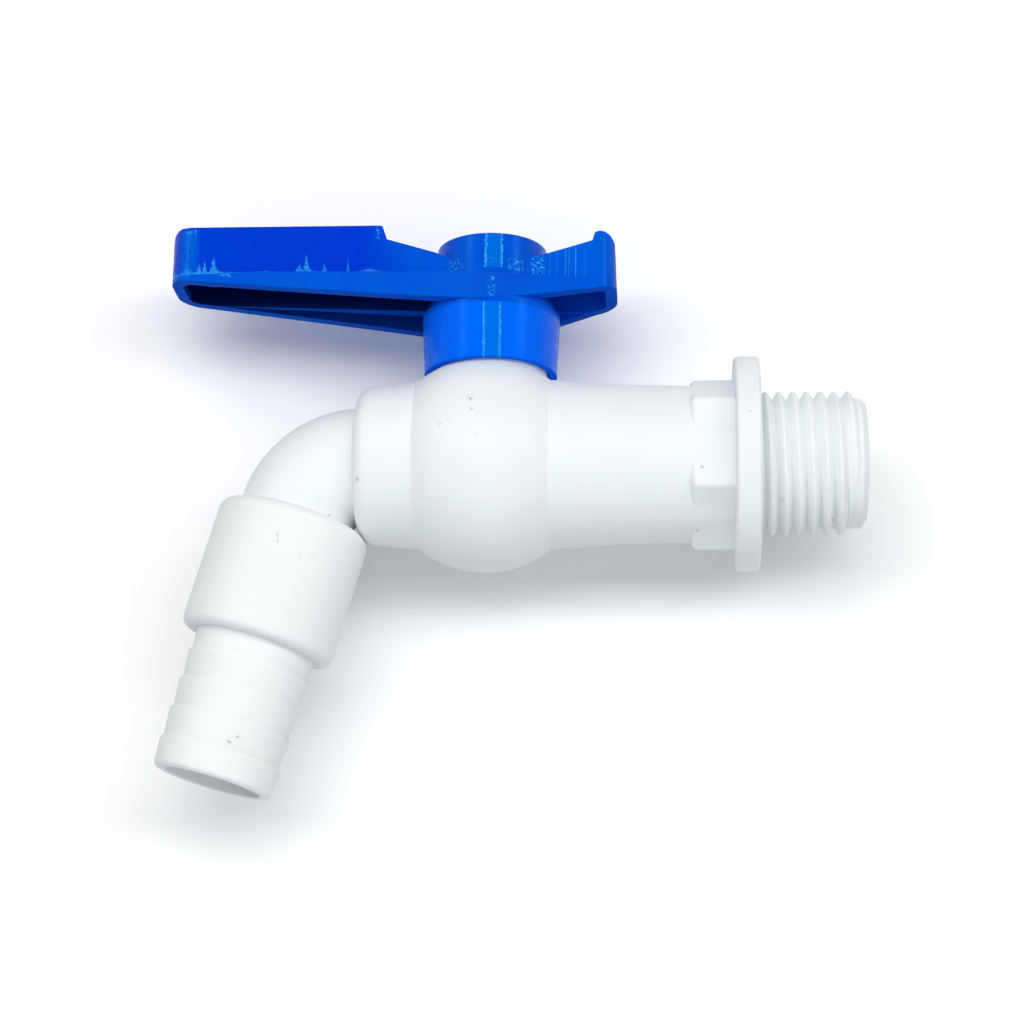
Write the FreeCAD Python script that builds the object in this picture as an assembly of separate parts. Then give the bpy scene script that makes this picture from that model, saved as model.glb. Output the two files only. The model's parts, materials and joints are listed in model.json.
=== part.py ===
import FreeCAD, Part
import math
import os

from FreeCAD import Rotation, Vector

# Garden tap: a quarter-turn ball valve of white plastic, with a threaded inlet, an elbow, a hose
# tail and a blue lever. Millimetres.
# The origin is the centre of the wall flange's face. +X leaves along the inlet thread, +Z along
# the stem, and the spout points down at the -X end.

os.makedirs("parts", exist_ok=True)

X_AXIS = Vector(1, 0, 0)
Z_AXIS = Vector(0, 0, 1)

# Body, along the inlet's axis
stem_to_flange = 39.3
inlet_length = 15.3
thread_diameter = 20.955
thread_length = 12.5
inlet_band_diameter = 18.9
inlet_bore = 13.0
inlet_edge = 0.8
flange_diameter = 31.3
flange_thickness = 3.65
flange_edge = 0.7
hex_across_flats = 22.5
hex_length = 6.25
hex_edge = 0.8
barrel_end_diameter = 22.9
barrel_middle_diameter = 23.5
barrel_root_drop = 6.6
bulge_diameter = 31.5
bulge_offset = 0.6
outlet_root_drop = 6.8
outlet_end_diameter = 23.4
outlet_length = 19.15
outlet_edge = 2.4

# Neck that carries the stem, with the two stops of the quarter turn
neck_share = 0.5333
neck_height = 19.6
neck_fillet = 1.0
stop_height = 1.5
stop_width = 2.6
stop_inner_diameter = 10.6
stop_gap = 1.0

# Ball and its seats
ball_diameter = 18.6
ball_bore = 11.0
ball_slot_floor = 6.5
chamber_diameter = 19.0
seat_bore = 11.4
seat_contact = 5.9
seat_length = 3.4
seat_gap = 0.04
seat_clearance = 0.03
cushion_section = 1.5
cushion_length = 1.2
retainer_length = 2.6
retainer_bore = 13.0
retainer_notch_width = 2.4
retainer_notch_depth = 1.4

# Rubber rings in their grooves, and what the tools that shape a piece have in common
ring_corner_share = 0.6
ring_side_gap = 0.1
overshoot = 1.0
same_place = 0.01

# Stem and what is on it
stem_diameter = 7.2
stem_bore_clearance = 0.04
tang_thickness = 3.0
tang_width = 7.6
tang_clearance = 0.05
collar_diameter = 10.4
collar_base = 10.0
collar_thickness = 1.5
collar_clearance = 0.3
washer_thickness = 0.8
groove_floor_diameter = 5.0
groove_width = 1.7
lower_groove_height = 14.2
groove_pitch = 2.8
square_side = 5.0
square_base = 20.4
square_top = 28.4
pilot_diameter = 2.4
pilot_depth = 8.0

# Handle, distances from the stem and heights above the body's axis
arm_reach = 47.8
tail_reach = 18.7
arm_half_width = 5.8
arm_wall = 1.7
arm_corner = 3.6
tail_corner = 3.2
saddle_height = 30.3
saddle_half_length = 5.8
roof_above_saddle = 5.3
roof_round = 1.8
roof_end = 15.9
roof_end_round = 0.5
step_foot = 15.3
step_above_saddle = 3.1
slope_foot = 8.3
slope_above_saddle = 1.0
rise_foot = 8.5
rise_above_saddle = 0.6
hook_foot = 15.15
hook_foot_above_saddle = 2.6
hook_front = 15.5
hook_front_above_saddle = 3.8
hook_crest = 16.6
hook_above_saddle = 4.15
hook_lean = 0.25
hook_front_bow = (0.4, 0.7)
hook_back_bow = (0.75, 0.45)
waist_distance = 16.0
waist_half_width = 8.4
rim_outside_skirt = 0.25
rim_height = 22.1
rim_arm_height = 27.5
rim_tail_height = 26.1
rim_lip = 0.5
shoulder_half_width = 8.7
shoulder_height = 27.0
shoulder_arm_height = 28.7
shoulder_tail_height = 27.0

# Handle, its boss and skirt
boss_diameter = 16.4
boss_above_saddle = 3.1
boss_edge = 0.4
boss_fillet = 1.2
skirt_flare = 0.45
skirt_neck_gap = 0.2
skirt_gap = 1.27
skirt_wall = 1.2
hub_diameter = 9.4
hub_gap = 0.5
web_height = 25.0
lug_gap = 0.35
lug_overlap = 0.5
socket_clearance = 0.05
well_diameter = 10.4
well_floor = 30.0
square_socket_top = 28.6

# Screw that holds the handle
screw_diameter = 3.6
screw_core_diameter = 2.3
screw_length = 9.0
screw_head_diameter = 7.4
screw_head_height = 2.2
screw_slot_width = 1.1
screw_slot_depth = 1.1
screw_slot_share = 0.6
screw_crown_share = 0.45
screw_crown_bow = (0.87, 0.62)
screw_tip_length = 0.8
screw_hole_gap = 0.4
screw_shank_gap = 0.1
screw_washer_diameter = 9.0
screw_washer_thickness = 0.8

# Elbow
elbow_diameter = 17.0
elbow_bore = 13.0
elbow_bend_radius = 10.0
elbow_bend_inset = 0.8
elbow_turn = 74.5
elbow_tail = 0.9
spigot_clearance = 0.05
spigot_gap = 0.4
elbow_seal_width = 1.8
elbow_seal_depth = 1.0
elbow_seal_setback = 1.2
tail_thread_diameter = 18.4
tail_thread_length = 12.0

# Hose tail
sleeve_diameter = 22.4
sleeve_length = 19.5
sleeve_top_edge = 1.7
sleeve_bottom_edge = 1.2
sleeve_socket_clearance = 0.05
hose_washer_thickness = 2.0
hose_washer_bore = 13.6
tail_bore = 14.0
barb_length = 20.7
barb_crest_diameter = 17.8
barb_root_diameter = 17.0
barb_neck_diameter = 17.5
barb_first = 3.3
barb_pitch = 4.35
barb_count = 4
barb_land = 0.5
barb_tip_edge = 0.4
barb_tip_rise = 0.15

stem_x = -stem_to_flange


def radial(distance, radius):
    """A point of a section, at a distance along X and a radius from it."""
    return Vector(distance, 0, radius)


def edges_through(points):
    """Edges from point to point. A pair (middle, end) makes an arc."""
    edges = []
    here = points[0]
    for step in points[1:]:
        if isinstance(step, tuple):
            edges.append(Part.Arc(here, step[0], step[1]).toShape())
            here = step[1]
        elif (step - here).Length > 1e-6:
            edges.append(Part.makeLine(here, step))
            here = step
    return edges


def face_through(points):
    """A flat face inside a closed outline."""
    return Part.Face(Part.Wire(edges_through(points + [points[0]])))


def turned(points, base=Vector(), axis=X_AXIS):
    """A solid of revolution, its section drawn in the XZ plane as distance and radius."""
    solid = face_through(points).revolve(Vector(), X_AXIS, 360)
    solid.Placement = FreeCAD.Placement(base, Rotation(X_AXIS, axis))
    return solid


def rod(diameter, start, end, base=Vector(), axis=X_AXIS):
    """A cylinder from one distance to another along an axis."""
    low = min(start, end)
    return Part.makeCylinder(diameter / 2, abs(end - start), base + axis * low, axis)


def ring(outer, inner, start, end, base=Vector(), axis=X_AXIS):
    """A flat ring between two distances along an axis."""
    return rod(outer, start, end, base, axis).cut(rod(inner, start, end, base, axis))


def block(low, high):
    """A box between two corners."""
    size = high - low
    return Part.makeBox(size.x, size.y, size.z, low)


def quarter_round(centre, radius, from_degrees, to_degrees):
    """The middle and end of an arc in the XZ plane."""
    def at(degrees):
        angle = math.radians(degrees)
        return centre + Vector(math.cos(angle), 0, math.sin(angle)) * radius

    return at((from_degrees + to_degrees) / 2), at(to_degrees)


def rubber_ring(inner, outer, width, centre, base, axis):
    """A rubber ring between two diameters, its section an oblong with cut corners."""
    low = inner / 2
    high = outer / 2
    half = width / 2
    corner = min(half, (high - low) / 2) * ring_corner_share
    points = [radial(centre - half + corner, low), radial(centre + half - corner, low),
              radial(centre + half, low + corner), radial(centre + half, high - corner),
              radial(centre + half - corner, high), radial(centre - half + corner, high),
              radial(centre - half, high - corner), radial(centre - half, low + corner)]
    return turned(points, base, axis)


def between(share, low, high):
    """The value that lies a share of the way from one value to another."""
    return low + (high - low) * share


def from_stem(distance):
    """A point of the body's axis, at a distance from the stem."""
    return Vector(stem_x + distance, 0, 0)


STEM_BASE = from_stem(0)

# Places along the body that follow from the sizes above, measured from the stem
outlet_face = -outlet_length
hex_left = stem_to_flange - flange_thickness - hex_length
bulge_radius = bulge_diameter / 2
barrel_root_diameter = bulge_diameter - barrel_root_drop
outlet_root_diameter = bulge_diameter - outlet_root_drop
neck_diameter = bulge_diameter * neck_share
skirt_bottom_diameter = neck_diameter + 2 * (skirt_neck_gap + skirt_wall)
skirt_top_diameter = skirt_bottom_diameter + 2 * skirt_flare
rim_half_width = skirt_top_diameter / 2 + rim_outside_skirt
bulge_height = math.sqrt(bulge_radius ** 2 - (skirt_bottom_diameter / 2) ** 2)
skirt_bottom = max(bulge_height, barrel_middle_diameter / 2) + skirt_gap
barrel_root = -bulge_offset + math.sqrt(bulge_radius ** 2 - (barrel_root_diameter / 2) ** 2)
outlet_root = -bulge_offset - math.sqrt(bulge_radius ** 2 - (outlet_root_diameter / 2) ** 2)
seat_back = seat_contact + seat_length
cushion_back = seat_back + cushion_length
retainer_back = cushion_back + retainer_length
spigot_end = retainer_back + spigot_gap
spigot_diameter = chamber_diameter - 2 * spigot_clearance
seat_diameter = chamber_diameter - 2 * seat_clearance

# Heights on the stem
collar_top = collar_base + collar_thickness
pocket_top = collar_top + washer_thickness + tang_clearance
stem_bore = stem_diameter + 2 * stem_bore_clearance
pocket_diameter = collar_diameter + 2 * collar_clearance

# Heights on the lever's upper part
roof_height = saddle_height + roof_above_saddle
step_height = saddle_height + step_above_saddle
slope_foot_height = saddle_height + slope_above_saddle
rise_foot_height = saddle_height + rise_above_saddle
hook_foot_height = saddle_height + hook_foot_above_saddle
hook_front_height = saddle_height + hook_front_above_saddle
hook_height = saddle_height + hook_above_saddle
boss_top = saddle_height + boss_above_saddle
lever_block_top = roof_height + overshoot


def valve_body():
    """One moulding: thread, flange, hexagon, barrel, ball chamber, neck and outlet."""
    thread_radius = thread_diameter / 2
    band_radius = inlet_band_diameter / 2
    flange_radius = flange_diameter / 2
    outlet_radius = outlet_end_diameter / 2
    flange_left = -flange_thickness
    hex_end = stem_x + hex_left
    root = stem_x + barrel_root
    front = stem_x + outlet_face
    bulge_top = stem_x - bulge_offset
    edge_start = radial(front + outlet_edge, outlet_radius)
    points = [radial(front, 0),
              radial(front, outlet_radius - outlet_edge),
              quarter_round(radial(front + outlet_edge, outlet_radius - outlet_edge),
                            outlet_edge, 180, 90),
              radial(stem_x + outlet_root, outlet_root_diameter / 2),
              (radial(bulge_top, bulge_radius), radial(root, barrel_root_diameter / 2)),
              (radial((root + hex_end) / 2, barrel_middle_diameter / 2),
               radial(hex_end, barrel_end_diameter / 2)),
              radial(flange_left, barrel_end_diameter / 2),
              radial(flange_left, flange_radius - flange_edge),
              quarter_round(radial(flange_left + flange_edge, flange_radius - flange_edge),
                            flange_edge, 180, 90),
              radial(-flange_edge / 2, flange_radius),
              radial(0, flange_radius - flange_edge / 2),
              radial(0, thread_radius),
              radial(thread_length, thread_radius),
              radial(thread_length, band_radius),
              radial(inlet_length - inlet_edge, band_radius),
              radial(inlet_length, band_radius - inlet_edge),
              radial(inlet_length, 0)]
    points[2] = (points[2][0], edge_start)
    outside = turned(points)
    neck = rod(neck_diameter, 0, neck_height, STEM_BASE, Z_AXIS)
    outside = outside.fuse(neck).removeSplitter()
    outside = outside.makeFillet(neck_fillet, neck_foot_edges(outside))
    outside = outside.fuse(inlet_hexagon()).fuse(quarter_stops()).removeSplitter()
    return outside.cut(body_hollow())


def neck_foot_edges(solid):
    """The curves where the neck leaves the bulge, the barrel and the outlet."""
    def on_foot(point):
        from_neck = abs(math.hypot(point.x - stem_x, point.y) - neck_diameter / 2)
        return from_neck < same_place and 0 < point.z < neck_height - neck_fillet

    found = []
    for edge in solid.Edges:
        first, last = edge.ParameterRange
        points = [edge.valueAt(between(share, first, last)) for share in (0.1, 0.5, 0.9)]
        if all(on_foot(point) for point in points) and edge.Curve.TypeId != "Part::GeomLine":
            found.append(edge)
    return found


def inlet_hexagon():
    """The spanner hexagon beside the flange, its free edges rounded."""
    corner_radius = hex_across_flats / 2 / math.cos(math.radians(30))
    left = stem_x + hex_left
    corners = []
    for step in range(6):
        angle = math.radians(90 + 60 * step)
        corners.append(Vector(left, corner_radius * math.cos(angle), corner_radius * math.sin(angle)))
    outline = Part.Face(Part.makePolygon(corners + [corners[0]]))
    prism = outline.extrude(X_AXIS * (hex_length + flange_thickness / 2))
    rounded = [edge for edge in prism.Edges if edge.BoundBox.XMin < left + hex_length / 2]
    return prism.makeFillet(hex_edge, rounded)


def sector(inner, outer, low, high, middle_degrees, half_degrees):
    """Part of a ring about the stem, between two heights and two angles."""
    blank = ring(outer, inner, low, high, STEM_BASE, Z_AXIS)
    corners = [STEM_BASE]
    for degrees in (middle_degrees - half_degrees, middle_degrees + half_degrees):
        angle = math.radians(degrees)
        corners.append(STEM_BASE + Vector(math.cos(angle), math.sin(angle), 0) * outer)
    wedge = Part.Face(Part.makePolygon(corners + [corners[0]])).extrude(Z_AXIS * (high - low))
    wedge.translate(Z_AXIS * low)
    return blank.common(wedge)


stop_radius = neck_diameter / 4 + stop_inner_diameter / 4
stop_half_angle = math.degrees(stop_width / 2 / stop_radius)
lug_angle = 135.0
stop_spread = 2 * stop_half_angle + stop_gap


def quarter_stops():
    """Two stops on the neck's top that the handle's lug meets, a quarter turn apart."""
    stops = []
    for middle in (lug_angle + stop_spread, lug_angle - 90 - stop_spread):
        stops.append(sector(stop_inner_diameter, neck_diameter, neck_height,
                            neck_height + stop_height, middle, stop_half_angle))
    return stops


def body_hollow():
    """The waterway, the ball's chamber, the stem's bore and the collar's pocket."""
    waterway = rod(inlet_bore, stem_x, inlet_length + overshoot)
    chamber = rod(chamber_diameter, outlet_face - overshoot, cushion_back, STEM_BASE)
    bore = rod(stem_bore, 0, neck_height + overshoot, STEM_BASE, Z_AXIS)
    pocket = rod(pocket_diameter, 0, pocket_top, STEM_BASE, Z_AXIS)
    return [waterway, chamber, bore, pocket]


def ball():
    """The ball with its waterway, and the slot that the stem's tang turns it by."""
    radius = ball_diameter / 2
    sphere = Part.makeSphere(radius, STEM_BASE)
    waterway = rod(ball_bore, -radius - overshoot, radius + overshoot, STEM_BASE)
    half = tang_thickness / 2 + tang_clearance
    past = radius + overshoot
    slot = block(STEM_BASE + Vector(-half, -past, ball_slot_floor), STEM_BASE + Vector(half, past, past))
    return sphere.cut([waterway, slot])


def seat_ring(side):
    """A seat that bears on the ball, behind it for side 1 and before it for side -1."""
    contact_radius = ball_diameter / 2 + seat_gap
    blank = ring(seat_diameter, seat_bore, side * seat_contact, side * seat_back, STEM_BASE)
    return blank.cut(Part.makeSphere(contact_radius, STEM_BASE))


def cushion_ring(side):
    """The rubber ring that presses a seat on the ball."""
    outer = seat_diameter
    inner = outer - 2 * cushion_section
    middle = side * (seat_back + cushion_length / 2)
    return rubber_ring(inner, outer, cushion_length, middle, STEM_BASE, X_AXIS)


def seat_retainer():
    """The threaded ring that closes the chamber, with two notches for its key."""
    blank = ring(seat_diameter, retainer_bore, -cushion_back, -retainer_back, STEM_BASE)
    notch = block(Vector(-retainer_back, -chamber_diameter, -retainer_notch_width / 2),
                  Vector(-retainer_back + retainer_notch_depth, chamber_diameter,
                         retainer_notch_width / 2))
    notch.translate(STEM_BASE)
    return blank.cut(notch)


def valve_stem():
    """The stem: tang, collar, two grooves and the square that the handle sits on."""
    radius = stem_diameter / 2
    collar_radius = collar_diameter / 2
    floor_radius = groove_floor_diameter / 2
    points = [radial(collar_base, 0), radial(collar_base, collar_radius),
              radial(collar_top, collar_radius), radial(collar_top, radius)]
    for groove in range(2):
        centre = lower_groove_height + groove * groove_pitch
        points += [radial(centre - groove_width / 2, radius),
                   radial(centre - groove_width / 2, floor_radius),
                   radial(centre + groove_width / 2, floor_radius),
                   radial(centre + groove_width / 2, radius)]
    points += [radial(square_base, radius), radial(square_base, 0)]
    shaft = turned(points, STEM_BASE, Z_AXIS)
    half = square_side / 2
    square = block(STEM_BASE + Vector(-half, -half, square_base),
                   STEM_BASE + Vector(half, half, square_top))
    tang_half = Vector(tang_thickness / 2, tang_width / 2, 0)
    tang_low = STEM_BASE - tang_half + Z_AXIS * (ball_slot_floor + tang_clearance)
    tang = block(tang_low, STEM_BASE + tang_half + Z_AXIS * collar_base)
    pilot = rod(pilot_diameter, square_top - pilot_depth, square_top + overshoot, STEM_BASE, Z_AXIS)
    return shaft.fuse([square, tang]).removeSplitter().cut(pilot)


def stem_seal(groove):
    """The rubber ring in one of the stem's grooves."""
    centre = lower_groove_height + groove * groove_pitch
    return rubber_ring(groove_floor_diameter, stem_bore - stem_bore_clearance,
                       groove_width - ring_side_gap, centre, STEM_BASE, Z_AXIS)


def stem_thrust_washer():
    """The slippery washer between the stem's collar and the body."""
    return ring(collar_diameter, stem_bore, collar_top, collar_top + washer_thickness,
                STEM_BASE, Z_AXIS)


def lever_stations():
    """The lever's sections: distance, half width and height of the rim, then of the shoulder."""
    def station(distance, rim_half, reach, rim_end, shoulder_end):
        share = abs(distance) / reach
        shoulder_half = between(share, shoulder_half_width, arm_half_width)
        return (distance, rim_half, between(share, rim_height, rim_end),
                min(shoulder_half, rim_half), between(share, shoulder_height, shoulder_end))

    arm = [station(distance, half, arm_reach, rim_arm_height, shoulder_arm_height)
           for distance, half in ((-arm_reach, arm_half_width),
                                  (-arm_reach + arm_corner, arm_half_width),
                                  (-waist_distance, waist_half_width))]
    tail = [station(distance, half, tail_reach, rim_tail_height, shoulder_tail_height)
            for distance, half in ((0, rim_half_width),
                                   (tail_reach - tail_corner, arm_half_width),
                                   (tail_reach, arm_half_width))]
    return arm + tail


def loft_of(sections):
    """A ruled solid through sections, each a distance and the corners of its left half."""
    wires = []
    for distance, half in sections:
        corners = half + [(-y, z) for y, z in reversed(half)]
        points = [from_stem(distance) + Vector(0, y, z) for y, z in corners]
        wires.append(Part.makePolygon(points + [points[0]]))
    return Part.makeLoft(wires, True, True)


def lever_tray():
    """The flared lower part of the lever."""
    sections = []
    for distance, rim_half, rim, shoulder_half, shoulder in lever_stations():
        half = [(-rim_half, rim), (-rim_half, rim + rim_lip), (-shoulder_half, shoulder)]
        sections.append((distance, half))
    return loft_of(sections)


def lever_tray_hollow():
    """The space inside the flared part, one wall in and open below."""
    sections = []
    for distance, rim_half, rim, shoulder_half, shoulder in lever_stations():
        inner = min(max(distance, arm_wall - arm_reach), tail_reach - arm_wall)
        if sections and inner <= sections[-1][0]:
            continue
        half = [(arm_wall - rim_half, rim - arm_wall), (arm_wall - shoulder_half, shoulder - arm_wall)]
        sections.append((inner, half))
    return loft_of(sections)


def lever_side(points, inset):
    """A block as wide as the boss with the side view of the lever's upper part."""
    left = inset - arm_reach
    top = roof_height - inset
    end = -roof_end - inset
    base = -rim_lip - inset
    outline = [radial(0, shoulder_height + base), radial(left, shoulder_arm_height + base),
               radial(left, top - roof_round),
               quarter_round(radial(left + roof_round, top - roof_round), roof_round, 180, 90),
               radial(end - roof_end_round, top),
               quarter_round(radial(end - roof_end_round, top - roof_end_round), roof_end_round,
                             90, 0),
               radial(-step_foot - inset, step_height - inset),
               radial(-slope_foot, slope_foot_height - inset),
               radial(-saddle_half_length, saddle_height - inset),
               radial(saddle_half_length, saddle_height - inset),
               radial(rise_foot, rise_foot_height - inset),
               radial(hook_foot, hook_foot_height - inset)]
    outline += points + [radial(tail_reach - inset, shoulder_tail_height + base)]
    half = boss_diameter / 2
    face = face_through(outline)
    face.translate(STEM_BASE - Vector(0, half, 0))
    return face.extrude(Vector(0, 2 * half, 0))


def lever_plan():
    """A tall block with the plan of the lever's upper part, with fillets beside the boss."""
    side = Vector(0, arm_half_width, 0)
    pieces = []
    reach = boss_diameter / 2 + boss_fillet
    across = arm_half_width + boss_fillet
    along = math.sqrt(reach ** 2 - across ** 2)
    for x_sign, y_sign in ((1, 1), (1, -1), (-1, 1), (-1, -1)):
        centre = STEM_BASE + Vector(along * x_sign, across * y_sign, 0)
        wall = STEM_BASE + Vector(along * x_sign, arm_half_width * y_sign, 0)
        corner = Part.Face(Part.makePolygon([STEM_BASE, wall, centre, STEM_BASE]))
        corner = corner.extrude(Z_AXIS * lever_block_top)
        pieces.append(corner.cut(rod(2 * boss_fillet, 0, lever_block_top, centre, Z_AXIS)))
    return block(from_stem(-arm_reach) - side,
                 from_stem(tail_reach) + side + Z_AXIS * lever_block_top).fuse(pieces)


def lever_wing():
    """The narrow upper part of the lever, with the hook at its tail."""
    front = radial(hook_front, hook_front_height)
    crest = radial(hook_crest, hook_height)
    back = radial(tail_reach - hook_lean, hook_foot_height)

    def bow(start, end, shares):
        return radial(between(shares[0], start.x, end.x), between(shares[1], start.z, end.z)), end

    hook = [front, bow(front, crest, hook_front_bow), bow(crest, back, hook_back_bow)]
    return lever_side(hook, 0).common(lever_plan())


def lever_wing_hollow():
    """The space inside the upper part."""
    roof = [radial(tail_reach - arm_wall, hook_foot_height - arm_wall)]
    half = Vector(0, arm_half_width - arm_wall, 0)
    strip = block(from_stem(-arm_reach) - half,
                  from_stem(tail_reach) + half + Z_AXIS * lever_block_top)
    return lever_side(roof, arm_wall).common(strip)


def end_corners(inset):
    """What rounding takes off the four upright corners of the lever's ends, or of its hollow."""
    cutters = []
    for end, inward, size in ((-arm_reach, 1, arm_corner), (tail_reach, -1, tail_corner)):
        past = size + overshoot
        for side in (1, -1):
            centre = from_stem(end + inward * size) + Vector(0, side * (arm_half_width - size), 0)
            corner = centre + Vector(-inward * past, side * past, lever_block_top)
            low = Vector(min(centre.x, corner.x), min(centre.y, corner.y), 0)
            high = Vector(max(centre.x, corner.x), max(centre.y, corner.y), corner.z)
            kept = rod(2 * (size - inset), 0, corner.z, centre, Z_AXIS)
            cutters.append(block(low, high).cut(kept))
    return cutters


def lever_core():
    """The boss on the lever with the skirt that hangs below it."""
    skirt = skirt_bottom_diameter / 2
    boss = boss_diameter / 2
    edge = quarter_round(radial(boss_top - boss_edge, boss - boss_edge), boss_edge, 90, 0)
    return turned([radial(skirt_bottom, 0), radial(skirt_bottom, skirt),
                   radial(rim_height + rim_lip, skirt_top_diameter / 2),
                   radial(shoulder_height - rim_lip, boss), radial(boss_top - boss_edge, boss),
                   edge, radial(boss_top, 0)], STEM_BASE, Z_AXIS)


def handle_lever():
    """The lever: a hollow arm and tail, the boss with its screw well, and the skirt."""
    outside = lever_tray().fuse(lever_wing()).cut(end_corners(0))
    core = lever_core()
    hollow = lever_tray_hollow().fuse(lever_wing_hollow()).cut([core] + end_corners(arm_wall))
    mouth = skirt_bottom - overshoot
    inside = turned([radial(mouth, 0),
                     radial(mouth, skirt_bottom_diameter / 2 - skirt_wall),
                     radial(rim_height, skirt_top_diameter / 2 - skirt_wall),
                     radial(web_height, boss_diameter / 2 - skirt_wall / 2),
                     radial(web_height, 0)], STEM_BASE, Z_AXIS)
    hub = rod(hub_diameter, neck_height + stop_height + hub_gap, web_height + overshoot,
              STEM_BASE, Z_AXIS)
    lever = outside.cut(hollow).fuse(core).cut(inside).fuse([hub, stop_lug()])
    return lever.removeSplitter().cut(stem_socket())


def stop_lug():
    """The lug inside the skirt that meets the stops on the neck."""
    outer = skirt_bottom_diameter - skirt_wall
    return sector(stop_inner_diameter + 2 * lug_gap, outer, neck_height + lug_gap,
                  web_height + lug_overlap, lug_angle, stop_half_angle)


def stem_socket():
    """The square socket, the screw's hole and its well in the boss."""
    half = square_side / 2 + socket_clearance
    square = block(STEM_BASE + Vector(-half, -half, neck_height),
                   STEM_BASE + Vector(half, half, square_socket_top))
    hole = rod(screw_diameter + screw_hole_gap, square_socket_top - overshoot, boss_top, STEM_BASE, Z_AXIS)
    well = rod(well_diameter, well_floor, boss_top + overshoot, STEM_BASE, Z_AXIS)
    return [square, hole, well]


def screw_washer():
    """The flat washer under the screw's head."""
    return ring(screw_washer_diameter, screw_diameter + screw_hole_gap, well_floor,
                well_floor + screw_washer_thickness, STEM_BASE, Z_AXIS)


def handle_screw():
    """The pan-head screw that holds the handle down on the stem."""
    head_base = well_floor + screw_washer_thickness
    head_radius = screw_head_diameter / 2
    crown = head_base + screw_head_height * screw_crown_share
    shank = screw_diameter / 2
    core = screw_core_diameter / 2
    shank_end = square_top + screw_shank_gap
    tip = head_base - screw_length
    top = head_base + screw_head_height
    bow_height, bow_radius = screw_crown_bow
    points = [radial(tip, 0), radial(tip + screw_tip_length, core), radial(shank_end, core),
              radial(shank_end, shank), radial(head_base, shank), radial(head_base, head_radius),
              radial(crown, head_radius),
              (radial(head_base + screw_head_height * bow_height, head_radius * bow_radius),
               radial(top, 0))]
    blank = turned(points, STEM_BASE, Z_AXIS)
    half = screw_slot_width / 2
    reach = head_radius * screw_slot_share
    slots = []
    for size in (Vector(half, reach, 0), Vector(reach, half, 0)):
        low = STEM_BASE - size + Z_AXIS * (top - screw_slot_depth)
        slots.append(block(low, STEM_BASE + size + Z_AXIS * (top + overshoot)))
    return blank.cut(slots)


# Elbow: it leaves the outlet along -X and turns down
bend_start = from_stem(outlet_face + elbow_bend_inset)
bend_centre = bend_start - Z_AXIS * elbow_bend_radius
turn = math.radians(elbow_turn)
tail_axis = Vector(-math.cos(turn), 0, -math.sin(turn))
bend_end = bend_centre + Vector(-math.sin(turn), 0, math.cos(turn)) * elbow_bend_radius
sleeve_top = bend_end + tail_axis * elbow_tail


def bend(diameter):
    """A round bar along the elbow's arc."""
    middle = bend_centre + Vector(-math.sin(turn / 2), 0, math.cos(turn / 2)) * elbow_bend_radius
    path = Part.Wire(Part.Arc(bend_start, middle, bend_end).toShape())
    circle = Part.Wire(Part.makeCircle(diameter / 2, bend_start, X_AXIS))
    return path.makePipeShell([circle], True, False)


def spout_elbow():
    """The elbow: spigot with its seal groove, the bend, and the thread for the hose tail."""
    groove_end = -spigot_end - elbow_seal_setback
    outside = rod(spigot_diameter, -spigot_end, outlet_face, STEM_BASE)
    start = rod(elbow_diameter, stem_x + outlet_face, bend_start.x)
    thread = rod(tail_thread_diameter, 0, tail_thread_length, sleeve_top, tail_axis)
    straight = rod(elbow_diameter, 0, elbow_tail, bend_end, tail_axis)
    outside = outside.fuse([start, bend(elbow_diameter), straight, thread]).removeSplitter()
    groove = ring(spigot_diameter + overshoot, spigot_diameter - 2 * elbow_seal_depth,
                  groove_end - elbow_seal_width, groove_end, STEM_BASE)
    inlet = rod(elbow_bore, overshoot - spigot_end, outlet_face + elbow_bend_inset, STEM_BASE)
    outlet = rod(elbow_bore, 0, tail_thread_length + elbow_tail + overshoot, bend_end, tail_axis)
    return outside.cut([groove, inlet, bend(elbow_bore), outlet])


def elbow_seal():
    """The rubber ring that seals the elbow in the outlet."""
    centre = -spigot_end - elbow_seal_setback - elbow_seal_width / 2
    return rubber_ring(spigot_diameter - 2 * elbow_seal_depth, chamber_diameter,
                       elbow_seal_width - ring_side_gap, centre, STEM_BASE, X_AXIS)


def hose_washer():
    """The flat rubber washer between the elbow's end and the hose tail."""
    return ring(tail_thread_diameter, hose_washer_bore, tail_thread_length,
                tail_thread_length + hose_washer_thickness, sleeve_top, tail_axis)


def hose_tail():
    """The hose tail: a sleeve that screws on the elbow, and a barb for the hose."""
    sleeve = sleeve_diameter / 2
    socket = tail_thread_diameter / 2 + sleeve_socket_clearance
    socket_depth = tail_thread_length + hose_washer_thickness
    bore = tail_bore / 2
    crest = barb_crest_diameter / 2
    root = barb_root_diameter / 2
    end = sleeve_length + barb_length
    points = [radial(0, socket), radial(0, sleeve - sleeve_top_edge),
              quarter_round(radial(sleeve_top_edge, sleeve - sleeve_top_edge), sleeve_top_edge, 180, 90),
              radial(sleeve_length - sleeve_bottom_edge, sleeve),
              quarter_round(radial(sleeve_length - sleeve_bottom_edge, sleeve - sleeve_bottom_edge),
                            sleeve_bottom_edge, 90, 0),
              radial(sleeve_length, barb_neck_diameter / 2),
              radial(sleeve_length + barb_first, root)]
    for barb in range(barb_count):
        start = sleeve_length + barb_first + barb * barb_pitch
        last = barb == barb_count - 1
        points += [radial(start, crest), radial(start + barb_land, crest)]
        if last:
            tip = root + barb_tip_rise
            points += [radial(end - barb_tip_edge, tip), radial(end, tip - barb_tip_edge)]
        else:
            points += [radial(start + barb_pitch, root)]
    points += [radial(end, bore), radial(socket_depth, bore), radial(socket_depth, socket)]
    return turned(points, sleeve_top, tail_axis)


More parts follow.
